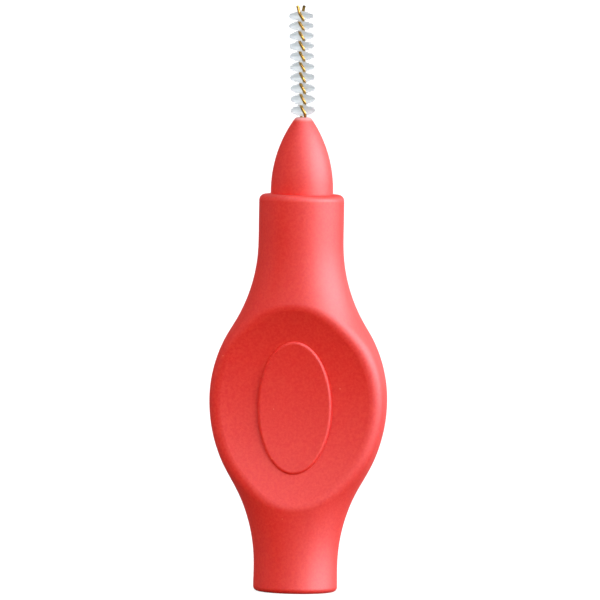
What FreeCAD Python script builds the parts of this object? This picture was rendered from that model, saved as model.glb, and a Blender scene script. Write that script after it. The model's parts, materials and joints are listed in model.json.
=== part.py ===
import FreeCAD, Part
import math
import os

os.makedirs("parts", exist_ok=True)

Vec = FreeCAD.Vector
UP = Vec(0, 0, 1)

# The brush stands on its tail. Sizes are millimetres, heights are above the tail's end face,
# +X is the width of the thumb paddle and -Y is its front.

# Soft grip, seen from the front: a straight tail, two flares that meet at the crown, a straight collar
tail_length = 2.75
lower_flare_length = 18.3
upper_flare_length = 17.45
collar_length = 5.25
tail_radius = 4.62
paddle_half_width = 9.73
collar_radius = 4.68
lower_crown_ratio = 0.48
upper_crown_ratio = 0.46

# Soft grip, seen from the side, before the dishes are cut
waist_height = 5.0
waist_inset = 0.47
paddle_half_depth = 6.6
side_crown_ratio = 0.45

# Soft grip, sections and edges: the paddle's sections are squarer than an ellipse by a ratio
paddle_squareness_ratio = 1.4
section_count = 26
section_points = 32
tail_edge_radius = 0.5
collar_edge_radius = 0.7

# Thumb dish on each face, and the web of the grip left between the two
dish_drop = 1.4
dish_web = 4.6
dish_across_radius = 90.0
dish_along_radius = 25.5
dish_rim_radius = 1.3

# Raised oval in each dish
oval_drop = 0.65
oval_half_width = 4.1
oval_half_height = 7.35
oval_rise = 0.42
oval_along_radius = 30.0
oval_edge_radius = 0.28

# Rigid nose, which stands on the end of the collar
nose_length = 8.45
nose_radius = 3.43
nose_land = 0.4
nose_tip_radius = 0.82
nose_tip_edge_radius = 0.35

# Shank of the nose inside the grip, with the rings that lock it
shank_radius = 3.2
shank_length = 2.6
shank_neck_radius = 2.2
shank_tail_length = 0.9
ring_count = 2
ring_radius = 2.85
ring_width = 1.1
ring_spacing = 2.4
overmould_gap = 0.02

# Twisted wire above the bend: a half turn is longer at the nose than at the tip
wire_diameter = 0.33
fan_count = 10
half_turn_at_nose = 1.24
half_turn_at_tip = 1.06
tip_run = 0.55
stem_lean_degrees = 2.2

# Bend of the wire just above the nose, where the two bodies meet
bend_rise = 0.2
bend_gap = 0.08

# Wire held in the nose: a twisted length, then the eye of its fold
anchor_half_turns = 7
eye_radius = 0.45
eye_drop = 1.1
bore_clearance = 0.05

# Nylon filaments pinched between the two strands
filament_diameter = 0.08
filaments_per_fan = 12
bristle_radius = 1.34
pinch_clearance = 0.005

edge_tolerance = 0.001
gap_points_per_half_turn = 40

paddle_height = tail_length + lower_flare_length
collar_foot_height = paddle_height + upper_flare_length
grip_length = collar_foot_height + collar_length
waist_half_depth = tail_radius - waist_inset
dish_height = paddle_height - dish_drop
oval_height = paddle_height - oval_drop
strand_offset = wire_diameter / 2 + filament_diameter / 2 + pinch_clearance
nose_tip_height = grip_length + nose_length
bend_height = nose_tip_height + bend_rise
eye_height = bend_height - anchor_half_turns * half_turn_at_nose - eye_drop
shank_end = grip_length - shank_length - ring_count * ring_spacing - shank_tail_length


def flare(height, narrow, wide, crown_ratio):
    """Half size at a height on two tangent arcs between two stations, each a height and a half size."""
    rise = wide[1] - narrow[1]
    run = abs(wide[0] - narrow[0])
    both_radii = (rise ** 2 + run ** 2) / (2 * rise)
    crown_radius = both_radii * crown_ratio
    hollow_radius = both_radii - crown_radius
    from_wide = abs(height - wide[0])
    if from_wide <= run * crown_ratio:
        return wide[1] - crown_radius + math.sqrt(crown_radius ** 2 - from_wide ** 2)
    return narrow[1] + hollow_radius - math.sqrt(hollow_radius ** 2 - (run - from_wide) ** 2)


def half_width(height):
    """Half width of the grip in the front view."""
    crown = (paddle_height, paddle_half_width)
    if height <= tail_length:
        return tail_radius
    if height <= paddle_height:
        return flare(height, (tail_length, tail_radius), crown, lower_crown_ratio)
    if height <= collar_foot_height:
        return flare(height, (collar_foot_height, collar_radius), crown, upper_crown_ratio)
    return collar_radius


def half_depth(height):
    """Half depth of the grip in the side view, before the dishes are cut."""
    crown = (paddle_height, paddle_half_depth)
    waist = (waist_height, waist_half_depth)
    if height <= waist_height:
        return flare(height, waist, (0, tail_radius), 0)
    if height <= paddle_height:
        return flare(height, waist, crown, side_crown_ratio)
    if height <= collar_foot_height:
        return flare(height, (collar_foot_height, collar_radius), crown, side_crown_ratio)
    return collar_radius


def grip_section(height):
    """Closed outline of the grip at a height: round at both ends, squarer at the paddle."""
    width = half_width(height)
    depth = half_depth(height)
    end_radius = tail_radius if height < paddle_height else collar_radius
    paddle_share = (width - end_radius) / (paddle_half_width - end_radius)
    power = 2 + 2 * (paddle_squareness_ratio - 1) * paddle_share
    points = []
    for index in range(section_points):
        angle = 2 * math.pi * index / section_points
        reach = (abs(math.cos(angle)) ** power + abs(math.sin(angle)) ** power) ** (-1 / power)
        points.append(Vec(width * reach * math.cos(angle), depth * reach * math.sin(angle), height))
    outline = Part.BSplineCurve()
    outline.interpolate(Points=points, PeriodicFlag=True)
    return Part.Wire([outline.toShape()])


def scoop(face, floor, along_radius):
    """Half ring whose outer side hollows a face to a floor: gently curved across, more curved along."""
    ring_centre = Vec(0, face * (floor + dish_across_radius), dish_height)
    outward = Vec(dish_across_radius - along_radius, 0, 0)
    top = ring_centre + outward + UP * along_radius
    outer = ring_centre + outward + Vec(along_radius, 0, 0)
    bottom = ring_centre + outward - UP * along_radius
    profile = Part.Wire([Part.Arc(top, outer, bottom).toShape(), Part.makeLine(bottom, top)])
    return Part.Face(profile).revolve(ring_centre, UP * -face, 180)


def on_dish(point, face):
    """Whether a point lies on the scooped surface of a face's dish."""
    ring_y = face * (dish_web / 2 + dish_across_radius)
    reach = math.hypot(point.x, point.y - ring_y) - (dish_across_radius - dish_along_radius)
    return abs(math.hypot(reach, point.z - dish_height) - dish_along_radius) < edge_tolerance


def edges_where(shape, test):
    """Edges of a shape whose points all pass a test."""
    return [edge for edge in shape.Edges if all(test(point) for point in edge.discretize(9))]


def raised_oval(face):
    """Oval pad from the web out to its own, flatter hollow, with a rounded crest."""
    centre = Vec(0, 0, oval_height)
    long_end = centre + Vec(0, 0, oval_half_height)
    side_end = centre + Vec(oval_half_width, 0, 0)
    outline = Part.Wire([Part.Ellipse(long_end, side_end, centre).toShape()])
    column = Part.Face(outline).extrude(Vec(0, face * paddle_half_depth, 0))
    pad = column.cut(scoop(face, dish_web / 2 + oval_rise, oval_along_radius))
    crest = edges_where(pad, lambda point: face * point.y > dish_web / 2)
    return pad.makeFillet(oval_edge_radius, crest)


def shank_outline(gap):
    """Half outline of the shank from its end up to the collar's end face, a gap outside its true size."""
    points = [Vec(shank_neck_radius + gap, 0, shank_end - gap)]
    for index in range(ring_count):
        ring_foot = shank_end + shank_tail_length + index * ring_spacing
        points.append(Vec(shank_neck_radius + gap, 0, ring_foot - gap))
        points.append(Vec(ring_radius + gap, 0, ring_foot - gap))
        points.append(Vec(ring_radius + gap, 0, ring_foot + ring_width + gap))
        points.append(Vec(shank_neck_radius + gap, 0, ring_foot + ring_width + gap))
    points.append(Vec(shank_neck_radius + gap, 0, grip_length - shank_length - gap))
    points.append(Vec(shank_radius + gap, 0, grip_length - shank_length - gap))
    points.append(Vec(shank_radius + gap, 0, grip_length))
    return points


def grip_handle():
    """Soft grip with its dishes, its ovals and the socket that fills round the shank."""
    heights = [grip_length * index / (section_count - 1) for index in range(section_count)]
    solid = Part.makeLoft([grip_section(height) for height in heights], True, False)
    for face in (-1, 1):
        solid = solid.cut(scoop(face, dish_web / 2, dish_along_radius))
        rim = edges_where(solid, lambda point: on_dish(point, face))
        solid = solid.makeFillet(dish_rim_radius, rim)
        solid = solid.fuse(raised_oval(face))
    tail_edge = edges_where(solid, lambda point: point.z < edge_tolerance)
    solid = solid.makeFillet(tail_edge_radius, tail_edge)
    collar_edge = edges_where(solid, lambda point: point.z > grip_length - edge_tolerance)
    solid = solid.makeFillet(collar_edge_radius, collar_edge)
    axis_ends = [Vec(0, 0, grip_length), Vec(0, 0, shank_end - overmould_gap)]
    socket = Part.makePolygon(axis_ends + shank_outline(overmould_gap) + axis_ends[:1])
    return solid.cut(Part.Face(Part.Wire(socket.Edges)).revolve(Vec(0, 0, 0), UP, 360))


def arc(start, corner, end):
    """Arc that leaves its start towards a corner point and reaches its end from there."""
    weight = (end - start).normalize().dot((corner - start).normalize())
    middle = (start + corner * (2 * weight) + end) * (1 / (2 + 2 * weight))
    return Part.Arc(start, middle, end).toShape()


def nose_core():
    """Nose, shank and rings turned about one axis, with the bore and pocket that hold the wire."""
    land_top = grip_length + nose_land
    ogive_length = nose_length - nose_land
    foot = Vec(nose_radius, 0, land_top)
    tip = Vec(nose_tip_radius, 0, nose_tip_height)
    taper = nose_radius - nose_tip_radius
    shoulder = Vec(nose_radius, 0, land_top + (taper ** 2 + ogive_length ** 2) / (2 * ogive_length))
    outline = [tip, Vec(0, 0, nose_tip_height), Vec(0, 0, shank_end)]
    outline += shank_outline(0)
    outline += [Vec(nose_radius, 0, grip_length), foot]
    profile = Part.Wire([arc(foot, shoulder, tip)] + Part.makePolygon(outline).Edges)
    solid = Part.Face(profile).revolve(Vec(0, 0, 0), UP, 360)
    tip_edge = edges_where(solid, lambda point: abs(point.z - nose_tip_height) < edge_tolerance)
    solid = solid.makeFillet(nose_tip_edge_radius, tip_edge)
    bore_radius = strand_offset + wire_diameter / 2 + bore_clearance
    bore = Part.makeCylinder(bore_radius, nose_tip_height - eye_height, Vec(0, 0, eye_height))
    pocket_radius = eye_radius + wire_diameter / 2 + bore_clearance
    pocket_floor = eye_height - pocket_radius
    pocket = Part.makeCylinder(pocket_radius, pocket_radius + eye_drop, Vec(0, 0, pocket_floor))
    return solid.cut(bore).cut(pocket)


def strand_station(half_turns, side):
    """Place and direction on a strand, some half turns above the bend. The twist is left-handed."""
    slackening = (half_turn_at_nose - half_turn_at_tip) / fan_count
    if half_turns < 0:
        slackening = 0
    rise = half_turns * half_turn_at_nose - slackening * half_turns ** 2 / 2
    climb = half_turn_at_nose - slackening * half_turns
    angle = -math.pi * half_turns
    across = side * strand_offset * math.cos(angle)
    along = side * strand_offset * math.sin(angle)
    direction = Vec(math.pi * along, -math.pi * across, climb)
    return Vec(across, along, bend_height + rise), direction.normalize()


def biarc(first, last):
    """Two tangent arcs between two stations, each a place and a direction."""
    span = last[0] - first[0]
    forward = span.dot(first[1] + last[1])
    turn = 2 * (1 - first[1].dot(last[1]))
    reach = (math.sqrt(forward ** 2 + turn * span.dot(span)) - forward) / turn
    near_corner = first[0] + first[1] * reach
    far_corner = last[0] - last[1] * reach
    joint = (near_corner + far_corner) * 0.5
    return [arc(first[0], near_corner, joint), arc(joint, far_corner, last[0])]


def twist(first, last, side):
    """Edges of a strand between two counts of half turns, a quarter turn or less at a time."""
    steps = math.ceil(2 * (last - first))
    stations = [strand_station(first + (last - first) * index / steps, side) for index in range(steps + 1)]
    edges = []
    for index in range(steps):
        edges += biarc(stations[index], stations[index + 1])
    return edges


def wire_along(edges, start):
    """Round wire swept along edges from a start station."""
    section = Part.Wire([Part.Circle(start[0], start[1], wire_diameter / 2).toShape()])
    return Part.Wire(edges).makePipeShell([section], True, False)


def wire_strand(side):
    """One strand from the bend to its cut end, which runs out straight."""
    last, direction = strand_station(fan_count, side)
    cut_end = Part.makeLine(last, last + direction * tip_run)
    return wire_along(twist(0, fan_count, side) + [cut_end], strand_station(0, side))


def wire_anchor():
    """Wire inside the nose: down one side of the twist, round the eye of the fold and up the other."""
    top = -bend_gap / half_turn_at_nose
    eye_bottom = Vec(0, 0, eye_height - eye_radius)
    legs = []
    quarters = []
    for side in (1, -1):
        foot = strand_station(-anchor_half_turns, side)
        outward = Vec(foot[0].x, foot[0].y, 0).normalize() * eye_radius
        shoulder = outward + Vec(0, 0, eye_height)
        legs.append(biarc((shoulder, UP), foot) + twist(-anchor_half_turns, top, side))
        quarters.append(arc(shoulder, shoulder - UP * eye_radius, eye_bottom))
    edges = legs[0][::-1] + quarters + legs[1]
    return wire_along(edges, strand_station(top, 1))


def least_strand_gap(first, last):
    """Least clear gap between the two strands over a stretch of the twist, measured on points."""
    steps = math.ceil((last - first) * gap_points_per_half_turn)
    counts = [first + (last - first) * index / steps for index in range(steps + 1)]
    ones = [strand_station(count, 1)[0] for count in counts]
    others = [strand_station(count, -1)[0] for count in counts]
    return min(one.distanceToPoint(other) for one in ones for other in others) - wire_diameter


def leaned(shape):
    """Shape of the brush head turned to the lean at which its stem stands."""
    shape.rotate(Vec(0, 0, bend_height), Vec(0, 1, 0), -stem_lean_degrees)
    return shape


def filament(half_turns):
    """One straight filament through the twist, square to the line between the two strands."""
    strand = strand_station(half_turns, 1)[0]
    along = Vec(-strand.y, strand.x, 0).normalize()
    start = Vec(0, 0, strand.z) - along * bristle_radius
    return Part.makeCylinder(filament_diameter / 2, 2 * bristle_radius, start, along)


def bristle_fan(index):
    """Filaments of one half turn, each a solid of its own."""
    turns = [index + (step + 0.5) / filaments_per_fan for step in range(filaments_per_fan)]
    return Part.makeCompound([filament(half_turns) for half_turns in turns])


def save(name, shape):
    """Write one node and print what it holds."""
    shape.exportStep(f"parts/{name}.step")
    print(f"{name}: {len(shape.Solids)} solids, {shape.Volume:.3f} mm3, valid {shape.isValid()}")


save("grip_handle", grip_handle())
save("nose_core", nose_core())
save("wire_anchor", wire_anchor())
save("wire_strand_a", leaned(wire_strand(1)))
save("wire_strand_b", leaned(wire_strand(-1)))
for index in range(fan_count):
    save(f"bristle_fan_{index + 1:02d}", leaned(bristle_fan(index)))

print(f"strand to strand gap in the nose: {least_strand_gap(-anchor_half_turns, 0):.3f} mm")
print(f"strand to strand gap in the brush: {least_strand_gap(0, fan_count):.3f} mm")
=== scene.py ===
import json
import math

import bpy
from mathutils import Matrix, Vector


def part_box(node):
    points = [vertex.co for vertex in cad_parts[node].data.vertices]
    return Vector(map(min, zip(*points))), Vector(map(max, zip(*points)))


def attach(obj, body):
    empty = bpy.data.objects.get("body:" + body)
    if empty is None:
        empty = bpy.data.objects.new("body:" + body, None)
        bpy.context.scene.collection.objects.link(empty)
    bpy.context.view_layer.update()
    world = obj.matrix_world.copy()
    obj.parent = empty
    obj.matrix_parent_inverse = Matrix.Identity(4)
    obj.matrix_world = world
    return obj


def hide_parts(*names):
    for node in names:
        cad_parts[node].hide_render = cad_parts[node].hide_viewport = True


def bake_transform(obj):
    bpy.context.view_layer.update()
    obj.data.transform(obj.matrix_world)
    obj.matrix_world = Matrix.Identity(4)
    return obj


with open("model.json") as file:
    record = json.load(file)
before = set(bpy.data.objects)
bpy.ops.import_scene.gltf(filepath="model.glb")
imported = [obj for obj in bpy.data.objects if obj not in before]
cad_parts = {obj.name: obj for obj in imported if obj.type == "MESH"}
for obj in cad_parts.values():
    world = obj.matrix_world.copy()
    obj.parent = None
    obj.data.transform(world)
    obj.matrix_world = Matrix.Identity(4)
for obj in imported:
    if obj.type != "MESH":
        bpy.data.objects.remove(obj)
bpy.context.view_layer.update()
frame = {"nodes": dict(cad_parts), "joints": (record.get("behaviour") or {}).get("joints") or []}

# Twisted wire. One length of drawn steel wire with a gold tone, folded at an eye and twisted on itself.
# The eye and the lower twist are moulded into the nose; the two cut ends splay at the tip.
bend = Vector(frame["joints"][0]["pos_m"])
wire_diameter = 0.33e-3
strand_offset = 0.21e-3
fan_count = 10
half_turn_at_nose = 1.24e-3
half_turn_at_tip = 1.06e-3
tightening = (half_turn_at_nose - half_turn_at_tip) / fan_count
tip_run = 0.82e-3
tip_spring = 0.17
anchor_half_turns = 7
eye_radius = 0.45e-3
eye_drop = 1.1e-3
points_per_half_turn = 18
stem_lean = math.radians(2.2)
lean_turn = Matrix.Rotation(-stem_lean, 4, "Y")
wire_shade = (0.13, 0.065, 0.008, 1)
wire_light = (0.52, 0.315, 0.07, 1)
wire_roughness_low = 0.14
wire_roughness_high = 0.32
streaks_per_metre = 9000


def strand_point(half_turns, side):
    """Point of a strand above or below the bend, and its direction there, before the stem leans."""
    change = tightening if half_turns > 0 else 0
    rise = half_turns * half_turn_at_nose - change * half_turns ** 2 / 2
    climb = half_turn_at_nose - change * half_turns
    angle = -math.pi * half_turns
    across = side * strand_offset * math.cos(angle)
    along = side * strand_offset * math.sin(angle)
    direction = Vector((math.pi * along, -math.pi * across, climb)).normalized()
    return Vector((across, along, rise)), direction


def wire_leg(side):
    """Points of one leg from the eye up to its cut end, about the bend."""
    foot = strand_point(-anchor_half_turns, side)[0]
    outward = Vector((foot.x, foot.y, 0)).normalized()
    shoulder = outward * eye_radius + Vector((0, 0, foot.z - eye_drop))
    points = []
    for step in range(points_per_half_turn):
        share = step / points_per_half_turn
        ease = share * share * (3 - 2 * share)
        level = shoulder.lerp(foot, ease)
        points.append(Vector((level.x, level.y, shoulder.z + eye_drop * share)))
    twisted = anchor_half_turns + fan_count - tip_spring
    steps = math.ceil(twisted * points_per_half_turn)
    for step in range(steps + 1):
        half_turns = twisted * step / steps - anchor_half_turns
        place = strand_point(half_turns, side)[0]
        points.append(lean_turn @ place if half_turns > 0 else place)
    tip, direction = strand_point(fan_count - tip_spring, side)
    points.append(lean_turn @ (tip + direction * tip_run))
    return points


def eye_bend(start, end):
    """Points of the half circle that joins the two legs below."""
    centre = (start + end) / 2
    outward = start - centre
    points = []
    for step in range(1, points_per_half_turn):
        angle = math.pi * step / points_per_half_turn
        drop = Vector((0, 0, eye_radius * math.sin(angle)))
        points.append(centre + outward * math.cos(angle) - drop)
    return points


legs = [wire_leg(1), wire_leg(-1)]
wire_path = legs[0][::-1] + eye_bend(legs[0][0], legs[1][0]) + legs[1]
wire_curve = bpy.data.curves.new("twisted_wire_path", "CURVE")
wire_curve.dimensions = "3D"
wire_curve.bevel_depth = wire_diameter / 2
wire_curve.bevel_resolution = 3
wire_curve.use_fill_caps = True
spline = wire_curve.splines.new("POLY")
spline.points.add(len(wire_path) - 1)
for point, place in zip(spline.points, wire_path):
    point.co = (*(bend + place), 1)
spline.use_smooth = True
wire_rod = bpy.data.objects.new("twisted_wire_path", wire_curve)
bpy.context.scene.collection.objects.link(wire_rod)
evaluated = bpy.context.evaluated_depsgraph_get()
wire_mesh = bpy.data.meshes.new_from_object(wire_rod.evaluated_get(evaluated))
bpy.data.objects.remove(wire_rod)
wire = bpy.data.objects.new("twisted_wire", wire_mesh)
bpy.context.scene.collection.objects.link(wire)

gold = bpy.data.materials.new("gold_toned_wire")
gold.use_nodes = True
nodes = gold.node_tree.nodes
links = gold.node_tree.links
metal = nodes["Principled BSDF"]
metal.inputs["Metallic"].default_value = 1.0
position = nodes.new("ShaderNodeTexCoord")
streaks = nodes.new("ShaderNodeTexNoise")
streaks.inputs["Scale"].default_value = streaks_per_metre
streaks.inputs["Detail"].default_value = 3
links.new(position.outputs["Object"], streaks.inputs["Vector"])
tone = nodes.new("ShaderNodeValToRGB")
tone.color_ramp.elements[0].position = 0.3
tone.color_ramp.elements[0].color = wire_shade
tone.color_ramp.elements[1].position = 0.65
tone.color_ramp.elements[1].color = wire_light
links.new(streaks.outputs["Fac"], tone.inputs["Fac"])
links.new(tone.outputs["Color"], metal.inputs["Base Color"])
gloss = nodes.new("ShaderNodeMapRange")
gloss.inputs["To Min"].default_value = wire_roughness_low
gloss.inputs["To Max"].default_value = wire_roughness_high
links.new(streaks.outputs["Fac"], gloss.inputs["Value"])
links.new(gloss.outputs["Result"], metal.inputs["Roughness"])
wire.data.materials.clear()
wire.data.materials.append(gold)
# The white studio fills the shadow of so thin a wire.
wire.visible_shadow = False
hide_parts("wire_anchor", "wire_strand_a", "wire_strand_b")

# The wire bends between the nose mouth and the top of the first half turn of bristles.
nose_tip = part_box("nose_core")[1].z
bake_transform(wire)

# Bristles. Clear nylon filaments laid between the two legs of the wire before it is twisted,
# so that they stand out square to the strands as a helical fan, then trimmed to one diameter.
nylon_shade = (0.52, 0.56, 0.57, 1)
nylon_light = (0.68, 0.72, 0.73, 1)
clouds_per_metre = 2500
filament_points = 9
filament_sides = 5
shortest_reach = 0.98
longest_reach = 1.02
waves_per_metre = 1400
noise_middle = (0.5, 0.5, 0.5)
first_seed = 40
seeds_per_fan = 10
fan_sizes = {
    "Filaments": 150,
    "Filament diameter": 0.045e-3,
    "Bristle radius": 1.34e-3,
    "Half turn at nose": half_turn_at_nose,
    "Tightening": tightening,
    "Splay": math.radians(16),
    "Tilt": math.radians(2.5),
    "Waviness": 0.05e-3,
    "Lean": stem_lean,
    "Bend height": bend.z,
}

nylon = bpy.data.materials.new("clear_nylon_filament")
nylon.use_nodes = True
nodes = nylon.node_tree.nodes
links = nylon.node_tree.links
body = nodes["Principled BSDF"]
body.inputs["Roughness"].default_value = 0.4
body.inputs["Alpha"].default_value = 0.45
body.inputs["IOR"].default_value = 1.53
position = nodes.new("ShaderNodeTexCoord")
cloud = nodes.new("ShaderNodeTexNoise")
cloud.inputs["Scale"].default_value = clouds_per_metre
links.new(position.outputs["Object"], cloud.inputs["Vector"])
tone = nodes.new("ShaderNodeValToRGB")
tone.color_ramp.elements[0].color = nylon_shade
tone.color_ramp.elements[1].color = nylon_light
links.new(cloud.outputs["Fac"], tone.inputs["Fac"])
links.new(tone.outputs["Color"], body.inputs["Base Color"])

fan_tree = bpy.data.node_groups.new("bristle_fan", "GeometryNodeTree")
fan_face = fan_tree.interface
fan_face.new_socket("Geometry", in_out="OUTPUT", socket_type="NodeSocketGeometry")
fan_inputs = {}
for name, kind in (
    ("First half turn", "NodeSocketFloat"),
    ("Filaments", "NodeSocketInt"),
    ("Filament diameter", "NodeSocketFloat"),
    ("Bristle radius", "NodeSocketFloat"),
    ("Half turn at nose", "NodeSocketFloat"),
    ("Tightening", "NodeSocketFloat"),
    ("Splay", "NodeSocketFloat"),
    ("Tilt", "NodeSocketFloat"),
    ("Waviness", "NodeSocketFloat"),
    ("Lean", "NodeSocketFloat"),
    ("Bend height", "NodeSocketFloat"),
    ("Seed", "NodeSocketInt"),
):
    fan_inputs[name] = fan_face.new_socket(name, in_out="INPUT", socket_type=kind).identifier
fan_in = fan_tree.nodes.new("NodeGroupInput").outputs
fan_out = fan_tree.nodes.new("NodeGroupOutput")


def fan_feed(socket, value):
    """Link a socket of the fan tree to another socket, or set it to a number."""
    if isinstance(value, bpy.types.NodeSocket):
        fan_tree.links.new(value, socket)
    else:
        socket.default_value = value


def fan_math(operation, first, second):
    """Math node of the fan tree on two sockets or numbers."""
    node = fan_tree.nodes.new("ShaderNodeMath")
    node.operation = operation
    fan_feed(node.inputs[0], first)
    fan_feed(node.inputs[1], second)
    return node.outputs[0]


def fan_random(low, high, draw):
    """Random number for each filament; the number of the draw is added to the seed."""
    node = fan_tree.nodes.new("FunctionNodeRandomValue")
    limits = {socket.name: socket for socket in node.inputs if socket.type == "VALUE"}
    fan_feed(limits["Min"], low)
    fan_feed(limits["Max"], high)
    fan_feed(node.inputs["Seed"], fan_math("ADD", fan_in["Seed"], draw))
    return [socket for socket in node.outputs if socket.type == "VALUE"][0]


def fan_vector(x, y, z):
    """Vector of three sockets or numbers."""
    node = fan_tree.nodes.new("ShaderNodeCombineXYZ")
    for socket, value in zip(node.inputs, (x, y, z)):
        fan_feed(socket, value)
    return node.outputs[0]


# Each filament has its place in the half turn, up to which the twist has risen and turned.
index = fan_tree.nodes.new("GeometryNodeInputIndex").outputs[0]
step = fan_math("ADD", index, fan_random(0.1, 0.9, draw=1))
turns = fan_math("ADD", fan_in["First half turn"], fan_math("DIVIDE", step, fan_in["Filaments"]))
half_tightening = fan_math("MULTIPLY", fan_in["Tightening"], 0.5)
loss = fan_math("MULTIPLY", fan_math("MULTIPLY", turns, turns), half_tightening)
rise = fan_math("SUBTRACT", fan_math("MULTIPLY", turns, fan_in["Half turn at nose"]), loss)
splay = fan_random(fan_math("MULTIPLY", fan_in["Splay"], -1), fan_in["Splay"], draw=2)
heading = fan_math("ADD", fan_math("MULTIPLY", fan_math("SUBTRACT", 0.5, turns), math.pi), splay)
tilt = fan_random(fan_math("MULTIPLY", fan_in["Tilt"], -1), fan_in["Tilt"], draw=3)
trim = fan_random(shortest_reach, longest_reach, draw=4)
reach = fan_math("MULTIPLY", fan_in["Bristle radius"], trim)

# A filament two metres long is scaled to its reach on each side of the wire.
roots = fan_tree.nodes.new("GeometryNodePoints")
fan_tree.links.new(fan_in["Filaments"], roots.inputs["Count"])
fan_tree.links.new(fan_vector(0, 0, rise), roots.inputs["Position"])
line = fan_tree.nodes.new("GeometryNodeCurvePrimitiveLine")
line.inputs["Start"].default_value = (-1, 0, 0)
line.inputs["End"].default_value = (1, 0, 0)
resample = fan_tree.nodes.new("GeometryNodeResampleCurve")
resample.inputs["Count"].default_value = filament_points
fan_tree.links.new(line.outputs[0], resample.inputs["Curve"])
ring = fan_tree.nodes.new("GeometryNodeCurvePrimitiveCircle")
ring.inputs["Resolution"].default_value = filament_sides
fan_tree.links.new(fan_math("MULTIPLY", fan_in["Filament diameter"], 0.5), ring.inputs["Radius"])
tube = fan_tree.nodes.new("GeometryNodeCurveToMesh")
tube.inputs["Fill Caps"].default_value = True
fan_tree.links.new(resample.outputs[0], tube.inputs["Curve"])
fan_tree.links.new(ring.outputs[0], tube.inputs["Profile Curve"])
scatter = fan_tree.nodes.new("GeometryNodeInstanceOnPoints")
fan_tree.links.new(roots.outputs[0], scatter.inputs["Points"])
fan_tree.links.new(tube.outputs[0], scatter.inputs["Instance"])
fan_tree.links.new(fan_vector(0, tilt, heading), scatter.inputs["Rotation"])
fan_tree.links.new(fan_vector(reach, 1, 1), scatter.inputs["Scale"])
realize = fan_tree.nodes.new("GeometryNodeRealizeInstances")
fan_tree.links.new(scatter.outputs[0], realize.inputs[0])

# Each filament waves a little more towards its free ends.
spot = fan_tree.nodes.new("GeometryNodeInputPosition").outputs[0]
parts = fan_tree.nodes.new("ShaderNodeSeparateXYZ")
fan_tree.links.new(spot, parts.inputs[0])
x_squared = fan_math("POWER", parts.outputs[0], 2)
y_squared = fan_math("POWER", parts.outputs[1], 2)
out_squared = fan_math("ADD", x_squared, y_squared)
freedom = fan_math("DIVIDE", out_squared, fan_math("POWER", fan_in["Bristle radius"], 2))
wave = fan_tree.nodes.new("ShaderNodeTexNoise")
wave.inputs["Scale"].default_value = waves_per_metre
fan_tree.links.new(spot, wave.inputs["Vector"])
centred = fan_tree.nodes.new("ShaderNodeVectorMath")
centred.operation = "SUBTRACT"
centred.inputs[1].default_value = noise_middle
fan_tree.links.new(wave.outputs["Color"], centred.inputs[0])
sway = fan_tree.nodes.new("ShaderNodeVectorMath")
sway.operation = "SCALE"
fan_tree.links.new(centred.outputs[0], sway.inputs[0])
fan_tree.links.new(fan_math("MULTIPLY", fan_in["Waviness"], freedom), sway.inputs["Scale"])
move = fan_tree.nodes.new("GeometryNodeSetPosition")
fan_tree.links.new(realize.outputs[0], move.inputs["Geometry"])
fan_tree.links.new(sway.outputs[0], move.inputs["Offset"])

# The fan is made about the bend, then leans with the stem and is lifted to its place.
stand = fan_tree.nodes.new("GeometryNodeTransform")
fan_tree.links.new(move.outputs[0], stand.inputs["Geometry"])
fan_tree.links.new(fan_vector(0, 0, fan_in["Bend height"]), stand.inputs["Translation"])
fan_tree.links.new(fan_vector(0, fan_math("MULTIPLY", fan_in["Lean"], -1), 0), stand.inputs["Rotation"])
coat = fan_tree.nodes.new("GeometryNodeSetMaterial")
coat.inputs["Material"].default_value = nylon
fan_tree.links.new(stand.outputs[0], coat.inputs["Geometry"])
fan_tree.links.new(coat.outputs[0], fan_out.inputs[0])

for number in range(fan_count):
    fan = bpy.data.objects.new(f"bristles_{number + 1:02d}", bpy.data.meshes.new("fan"))
    bpy.context.scene.collection.objects.link(fan)
    maker = fan.modifiers.new("bristles", "NODES")
    maker.node_group = fan_tree
    for name, value in fan_sizes.items():
        maker[fan_inputs[name]] = value
    maker[fan_inputs["First half turn"]] = float(number)
    maker[fan_inputs["Seed"]] = first_seed + seeds_per_fan * number
    evaluated = bpy.context.evaluated_depsgraph_get()
    made = bpy.data.meshes.new_from_object(fan.evaluated_get(evaluated))
    fan.modifiers.remove(maker)
    fan.data = made
    made.polygons.foreach_set("use_smooth", [True] * len(made.polygons))
    # Thin clear nylon lets most of the light through to the filaments behind it.
    fan.visible_shadow = False
    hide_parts(f"bristle_fan_{number + 1:02d}")
    if number == 0:
        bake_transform(fan)
    else:
        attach(fan, "brush_head")

# Nose. A satin coral-red moulding round the lower wire, with a short straight land at its foot for a cap.
# It keeps the fine grain of its mould and a faint parting line down each side.
coral_deep = (0.695, 0.007, 0.0003, 1)
coral_pale = (0.75, 0.027, 0.009, 1)
coral_speck = (0.8, 0.09, 0.045, 1)
mottles_per_metre = 3600
mottle_low = 0.38
mottle_high = 0.62
specks_per_metre = 330
speck_core = 0.02
speck_edge = 0.035
parting_half_width = 0.06e-3
grain_depth = 0.02e-3
roughness_swing = 0.08
nose_roughness = 0.55
nose_grains_per_metre = 9000
nose_bump = 0.6
# Painted highlight: a paler pink towards the mouth of the bore, for the light on the thin rim.
mouth_highlight_pink = (0.82, 0.38, 0.36, 1)
mouth_starts = 0.5e-3
mouth_full = 0.05e-3
mouth_highlight_strength = 0.75

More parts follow.
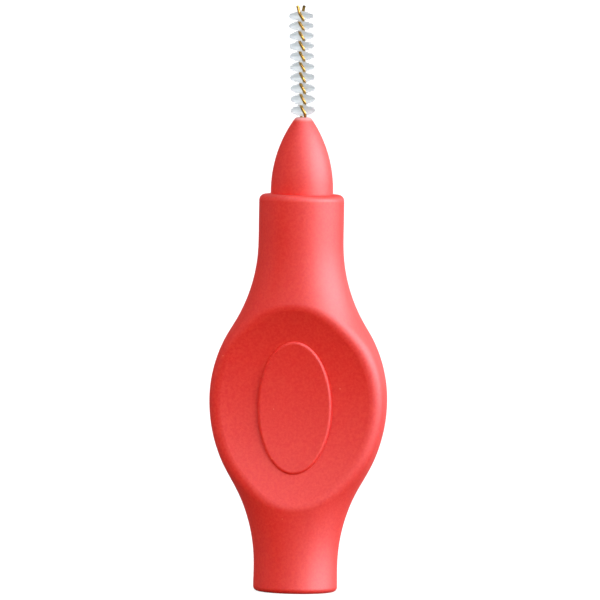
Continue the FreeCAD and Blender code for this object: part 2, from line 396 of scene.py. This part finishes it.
grain_group = bpy.data.node_groups.new("moulded_grain", "ShaderNodeTree")
grain_face = grain_group.interface
grain_face.new_socket("Position", in_out="INPUT", socket_type="NodeSocketVector")
grain_face.new_socket("Grains per metre", in_out="INPUT", socket_type="NodeSocketFloat")
grain_face.new_socket("Parting half width", in_out="INPUT", socket_type="NodeSocketFloat")
grain_face.new_socket("Height", in_out="OUTPUT", socket_type="NodeSocketFloat")
grain_face.new_socket("Mottle", in_out="OUTPUT", socket_type="NodeSocketFloat")
grain_face.new_socket("Specks", in_out="OUTPUT", socket_type="NodeSocketFloat")
grain_in = grain_group.nodes.new("NodeGroupInput").outputs
grain_out = grain_group.nodes.new("NodeGroupOutput").inputs
fine = grain_group.nodes.new("ShaderNodeTexNoise")
fine.inputs["Detail"].default_value = 4
fine.inputs["Roughness"].default_value = 0.6
grain_group.links.new(grain_in["Position"], fine.inputs["Vector"])
grain_group.links.new(grain_in["Grains per metre"], fine.inputs["Scale"])

# The mould halves meet at the middle of the depth, and leave a fine ridge there.
sides = grain_group.nodes.new("ShaderNodeSeparateXYZ")
grain_group.links.new(grain_in["Position"], sides.inputs[0])
from_parting = grain_group.nodes.new("ShaderNodeMath")
from_parting.operation = "ABSOLUTE"
grain_group.links.new(sides.outputs["Y"], from_parting.inputs[0])
ridge = grain_group.nodes.new("ShaderNodeMapRange")
ridge.interpolation_type = "SMOOTHSTEP"
ridge.inputs["To Min"].default_value = 1
ridge.inputs["To Max"].default_value = 0
grain_group.links.new(from_parting.outputs[0], ridge.inputs["Value"])
grain_group.links.new(grain_in["Parting half width"], ridge.inputs["From Max"])
skin = grain_group.nodes.new("ShaderNodeMath")
skin.operation = "ADD"
grain_group.links.new(fine.outputs["Fac"], skin.inputs[0])
grain_group.links.new(ridge.outputs["Result"], skin.inputs[1])
grain_group.links.new(skin.outputs[0], grain_out["Height"])

# The pigment is a little uneven in the plastic.
mottle = grain_group.nodes.new("ShaderNodeTexNoise")
mottle.inputs["Scale"].default_value = mottles_per_metre
mottle.inputs["Detail"].default_value = 5
mottle.inputs["Roughness"].default_value = 0.65
grain_group.links.new(grain_in["Position"], mottle.inputs["Vector"])
grain_group.links.new(mottle.outputs["Fac"], grain_out["Mottle"])

# A few specks of dust are moulded in.
dust = grain_group.nodes.new("ShaderNodeTexVoronoi")
dust.inputs["Scale"].default_value = specks_per_metre
grain_group.links.new(grain_in["Position"], dust.inputs["Vector"])
speck = grain_group.nodes.new("ShaderNodeMapRange")
speck.inputs["From Min"].default_value = speck_core
speck.inputs["From Max"].default_value = speck_edge
speck.inputs["To Min"].default_value = 1
speck.inputs["To Max"].default_value = 0
grain_group.links.new(dust.outputs["Distance"], speck.inputs["Value"])
grain_group.links.new(speck.outputs["Result"], grain_out["Specks"])


def pale_where(tree, mask, colour, pale):
    """Colour socket that turns to a paler colour where a mask socket is full."""
    mix = tree.nodes.new("ShaderNodeMix")
    mix.data_type = "RGBA"
    tree.links.new(mask, mix.inputs["Factor"])
    first, second = [socket for socket in mix.inputs if socket.type == "RGBA"]
    tree.links.new(colour, first)
    second.default_value = pale
    return [socket for socket in mix.outputs if socket.type == "RGBA"][0]


def coral_material(name, roughness, grains_per_metre, bump):
    """Satin coral moulding: deep and pale tones in a fine mottle, with a fine grain and a parting line."""
    material = bpy.data.materials.new(name)
    material.use_nodes = True
    tree = material.node_tree
    shader = tree.nodes["Principled BSDF"]
    shader.inputs["IOR"].default_value = 1.5
    shader.inputs["Specular IOR Level"].default_value = 0.4
    position = tree.nodes.new("ShaderNodeTexCoord")
    grain = tree.nodes.new("ShaderNodeGroup")
    grain.node_tree = grain_group
    grain.inputs["Grains per metre"].default_value = grains_per_metre
    grain.inputs["Parting half width"].default_value = parting_half_width
    tree.links.new(position.outputs["Object"], grain.inputs["Position"])
    tint = tree.nodes.new("ShaderNodeValToRGB")
    tint.color_ramp.elements[0].position = mottle_low
    tint.color_ramp.elements[0].color = coral_deep
    tint.color_ramp.elements[1].position = mottle_high
    tint.color_ramp.elements[1].color = coral_pale
    tree.links.new(grain.outputs["Mottle"], tint.inputs["Fac"])
    specked = pale_where(tree, grain.outputs["Specks"], tint.outputs["Color"], coral_speck)
    tree.links.new(specked, shader.inputs["Base Color"])
    satin = tree.nodes.new("ShaderNodeMapRange")
    satin.inputs["To Min"].default_value = roughness - roughness_swing
    satin.inputs["To Max"].default_value = roughness + roughness_swing
    tree.links.new(grain.outputs["Mottle"], satin.inputs["Value"])
    tree.links.new(satin.outputs["Result"], shader.inputs["Roughness"])
    relief = tree.nodes.new("ShaderNodeBump")
    relief.inputs["Strength"].default_value = bump
    relief.inputs["Distance"].default_value = grain_depth
    tree.links.new(grain.outputs["Height"], relief.inputs["Height"])
    tree.links.new(relief.outputs["Normal"], shader.inputs["Normal"])
    return material


nose = frame["nodes"]["nose_core"]
nose_skin = coral_material("nose_moulding", nose_roughness, nose_grains_per_metre, nose_bump)

# Round the mouth of the bore the plastic is thin; the paler pink towards the tip is a painted highlight, for
# the light on and through that thin rim.
tree = nose_skin.node_tree
height = tree.nodes.new("ShaderNodeSeparateXYZ")
tree.links.new(tree.nodes["Texture Coordinate"].outputs["Object"], height.inputs[0])
mouth_highlight_mask = tree.nodes.new("ShaderNodeMapRange")
mouth_highlight_mask.interpolation_type = "SMOOTHSTEP"
mouth_highlight_mask.inputs["From Min"].default_value = nose_tip - mouth_starts
mouth_highlight_mask.inputs["From Max"].default_value = nose_tip - mouth_full
mouth_highlight_mask.inputs["To Max"].default_value = mouth_highlight_strength
tree.links.new(height.outputs["Z"], mouth_highlight_mask.inputs["Value"])
shader = tree.nodes["Principled BSDF"]
coral = shader.inputs["Base Color"].links[0].from_socket
highlighted_mouth = pale_where(tree, mouth_highlight_mask.outputs["Result"], coral, mouth_highlight_pink)
tree.links.new(highlighted_mouth, shader.inputs["Base Color"])
nose.data.materials.clear()
nose.data.materials.append(nose_skin)

# Grip. A soft coral-red elastomer moulded over the shank of the nose, with a thumb dish and a plain raised
# oval on each face. Its skin is satin, with a fine grain.
grip_roughness = 0.56
grip_grains_per_metre = 7000
grip_bump = 0.7
grip = frame["nodes"]["grip_handle"]
grip_skin = coral_material("grip_elastomer", grip_roughness, grip_grains_per_metre, grip_bump)
grip.data.materials.clear()
grip.data.materials.append(grip_skin)

# Studio. A white floor and backdrop, with a large soft light low on the right and weaker ones from the left
# and from behind. Lights that show only in the gloss stand for the white walls.
floor_half_width = 15
floor_tone = (0.12, 0.12, 0.12, 1)
floor_glow = 0.9
world_fill = 0.04
world_seen = 1.0
mirrored_share = 0.02
cool_white = (0.92, 0.88, 1.0)

floor_mesh = bpy.data.meshes.new("floor")
floor_corners = [
    (-floor_half_width, -floor_half_width, 0),
    (floor_half_width, -floor_half_width, 0),
    (floor_half_width, floor_half_width, 0),
    (-floor_half_width, floor_half_width, 0),
]
floor_mesh.from_pydata(floor_corners, [], [(0, 1, 2, 3)])
floor = bpy.data.objects.new("floor", floor_mesh)
bpy.context.scene.collection.objects.link(floor)
paper = bpy.data.materials.new("white_floor")
paper.use_nodes = True
tree = paper.node_tree
shader = tree.nodes["Principled BSDF"]
shader.inputs["Base Color"].default_value = floor_tone
shader.inputs["Roughness"].default_value = 0.9
glow = tree.nodes.new("ShaderNodeEmission")


def seen_background(tree):
    """Socket that is full for what the camera sees, straight or through clear things, and faint in gloss."""
    rays = tree.nodes.new("ShaderNodeLightPath").outputs
    straight = tree.nodes.new("ShaderNodeMath")
    straight.operation = "MAXIMUM"
    tree.links.new(rays["Is Camera Ray"], straight.inputs[0])
    tree.links.new(rays["Is Transmission Ray"], straight.inputs[1])
    mirrored = tree.nodes.new("ShaderNodeMath")
    mirrored.operation = "MULTIPLY_ADD"
    mirrored.inputs[1].default_value = mirrored_share
    tree.links.new(rays["Is Glossy Ray"], mirrored.inputs[0])
    tree.links.new(straight.outputs[0], mirrored.inputs[2])
    return mirrored.outputs[0]


level = tree.nodes.new("ShaderNodeMath")
level.operation = "MULTIPLY"
level.inputs[1].default_value = floor_glow
tree.links.new(seen_background(tree), level.inputs[0])
tree.links.new(level.outputs[0], glow.inputs["Strength"])
both = tree.nodes.new("ShaderNodeAddShader")
tree.links.new(shader.outputs[0], both.inputs[0])
tree.links.new(glow.outputs[0], both.inputs[1])
tree.links.new(both.outputs[0], tree.nodes["Material Output"].inputs["Surface"])
floor_mesh.materials.append(paper)


def sun(name, bearing, elevation, strength, spread, colour=(1, 1, 1)):
    """Distant soft light from a bearing to the right of the part's front, and a height, in degrees."""
    lamp = bpy.data.lights.new(name, "SUN")
    lamp.energy = strength
    lamp.angle = math.radians(spread)
    lamp.color = colour
    holder = bpy.data.objects.new(name, lamp)
    turn = math.radians(bearing)
    lift = math.radians(elevation)
    across = math.sin(turn) * math.cos(lift)
    away = -math.cos(turn) * math.cos(lift)
    towards = Vector((across, away, math.sin(lift)))
    holder.rotation_euler = towards.to_track_quat("Z", "Y").to_euler()
    bpy.context.scene.collection.objects.link(holder)
    return holder


for lamp in (
    sun("key_light", bearing=68, elevation=6, strength=5.8, spread=75),
    sun("left_fill", bearing=-40, elevation=12, strength=2.5, spread=70),
    sun("back_fill", bearing=180, elevation=35, strength=3.0, spread=90),
):
    lamp.visible_glossy = False
for lamp in (
    sun("side_gleam", bearing=83, elevation=8, strength=16, spread=65, colour=cool_white),
    sun("rim_gleam", bearing=130, elevation=7, strength=1.7, spread=60, colour=cool_white),
    sun("high_gleam", bearing=40, elevation=42, strength=5.2, spread=50, colour=cool_white),
    sun("top_gleam", bearing=0, elevation=80, strength=3.0, spread=60, colour=cool_white),
    sun("left_gleam", bearing=-80, elevation=5, strength=1.0, spread=60, colour=cool_white),
):
    lamp.visible_diffuse = False

world = bpy.data.worlds.new("studio")
bpy.context.scene.world = world
world.use_nodes = True
tree = world.node_tree
sky = tree.nodes["Background"]
sky.inputs["Color"].default_value = (1, 1, 1, 1)
strength = tree.nodes.new("ShaderNodeMapRange")
strength.inputs["To Min"].default_value = world_fill
strength.inputs["To Max"].default_value = world_seen
tree.links.new(seen_background(tree), strength.inputs["Value"])
tree.links.new(strength.outputs["Result"], sky.inputs["Strength"])

# Camera. A long lens, a little right of the front and a little above the level of the brush's middle.
# It is rolled by a degree, so that the brush leans slightly in the picture.
view_width = 0.066
view_distance = 0.9
view_elevation = math.radians(3)
view_bearing = math.radians(8.5)
view_roll = math.radians(1.0)
look_at = Vector((0, 0, 0.0321))
camera_data = bpy.data.cameras.new("camera")
camera_data.sensor_width = 36
camera_data.lens = camera_data.sensor_width * view_distance / view_width
camera_data.clip_end = 100
camera = bpy.data.objects.new("camera", camera_data)
level_reach = view_distance * math.cos(view_elevation)
camera.location = look_at + Vector((
    level_reach * math.sin(view_bearing),
    -level_reach * math.cos(view_bearing),
    view_distance * math.sin(view_elevation),
))
tracked = (look_at - camera.location).to_track_quat("-Z", "Y").to_matrix()
camera.rotation_euler = (tracked @ Matrix.Rotation(view_roll, 3, "Z")).to_euler()
bpy.context.scene.collection.objects.link(camera)
bpy.context.scene.camera = camera
bpy.context.scene.view_settings.view_transform = "Standard"
